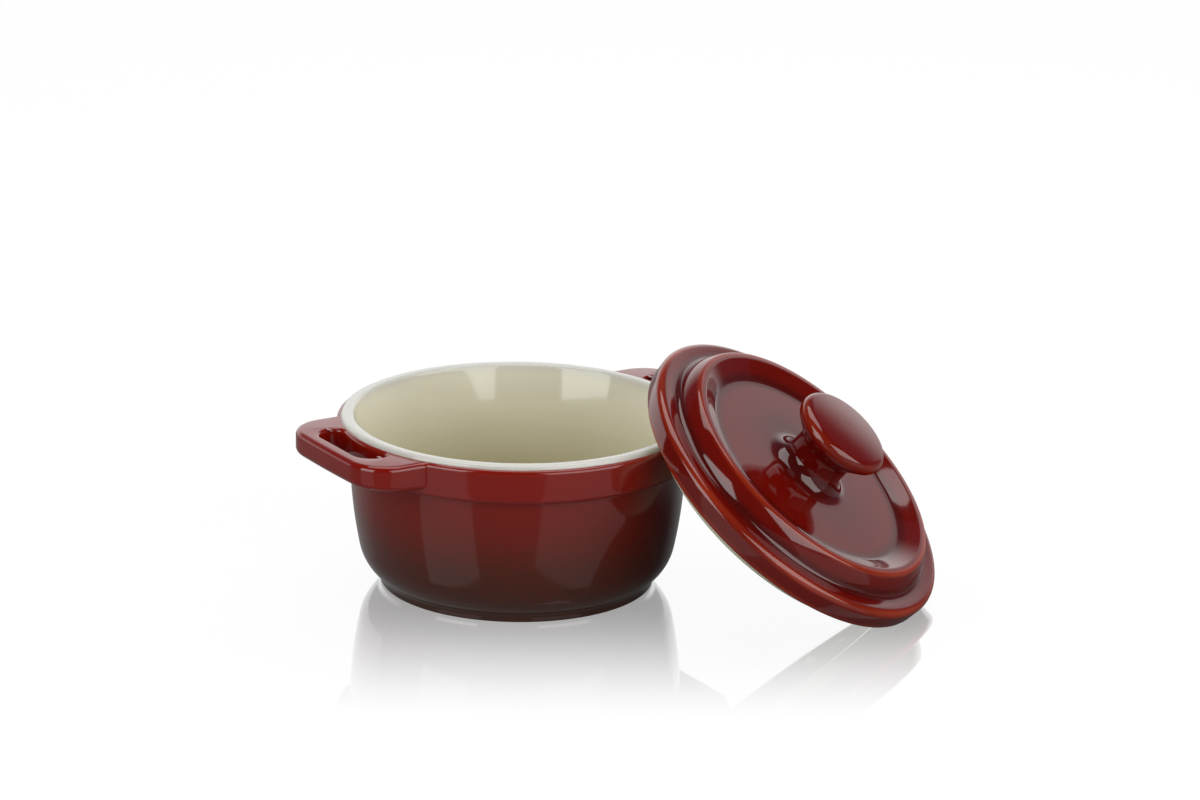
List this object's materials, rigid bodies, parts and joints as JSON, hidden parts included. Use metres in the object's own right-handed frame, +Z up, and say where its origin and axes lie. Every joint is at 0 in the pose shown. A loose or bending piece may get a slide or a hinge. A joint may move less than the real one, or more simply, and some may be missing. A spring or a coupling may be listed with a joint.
{
  "type": "round casserole with lid",
  "caption": "Small round lidded casserole: straight pot with slotted side handles, and its knobbed lid taken off and leaning against a handle.",
  "frame": {"origin": "centre of the pot's foot, on the surface it stands on", "axes": "+Z up along the pot's axis, +X from the pot towards the lid that leans beside it"},
  "size_m": [0.1936, 0.125, 0.0733],
  "materials": {
    "pot_enamel": "glossy enamel, red outside and cream inside",
    "lid_enamel": "glossy enamel, red above and cream below"
  },
  "bodies": {
    "root": {"pot": "pot_enamel", "lid": "lid_enamel"}
  },
  "joints": []
}
